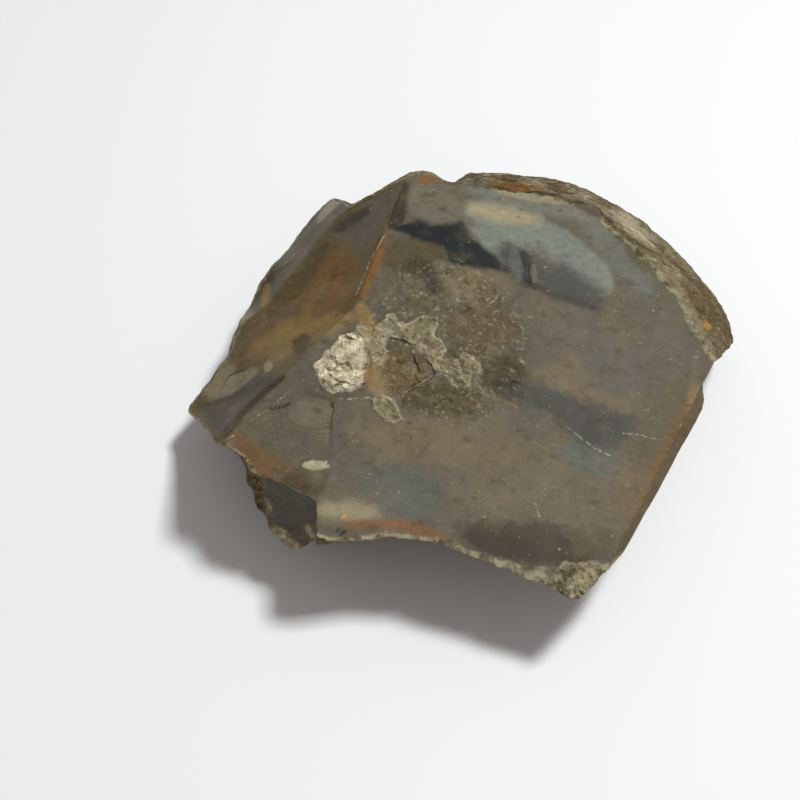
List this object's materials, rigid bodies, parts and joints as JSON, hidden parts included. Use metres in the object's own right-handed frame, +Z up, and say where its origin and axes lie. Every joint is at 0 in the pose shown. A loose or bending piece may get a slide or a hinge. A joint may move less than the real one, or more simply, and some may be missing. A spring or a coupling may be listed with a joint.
{
  "type": "flint nodule",
  "caption": "Split flint nodule with a rounded chalky rind, a broad fracture face on top and smaller flake scars, resting on a small flat spot.",
  "frame": {"origin": "under the middle of the stone's bounding box, on the surface that it rests on", "axes": "+X along the stone's longest way, +Y towards its far side, +Z up, across its flattest way"},
  "size_m": [0.109, 0.1027, 0.0355],
  "materials": {
    "flint": "waxy grey-brown flint with slate-blue and tan patches, an orange-brown band under a thin matte olive-khaki rind"
  },
  "bodies": {
    "root": {"flint_nodule": "flint"}
  },
  "joints": []
}
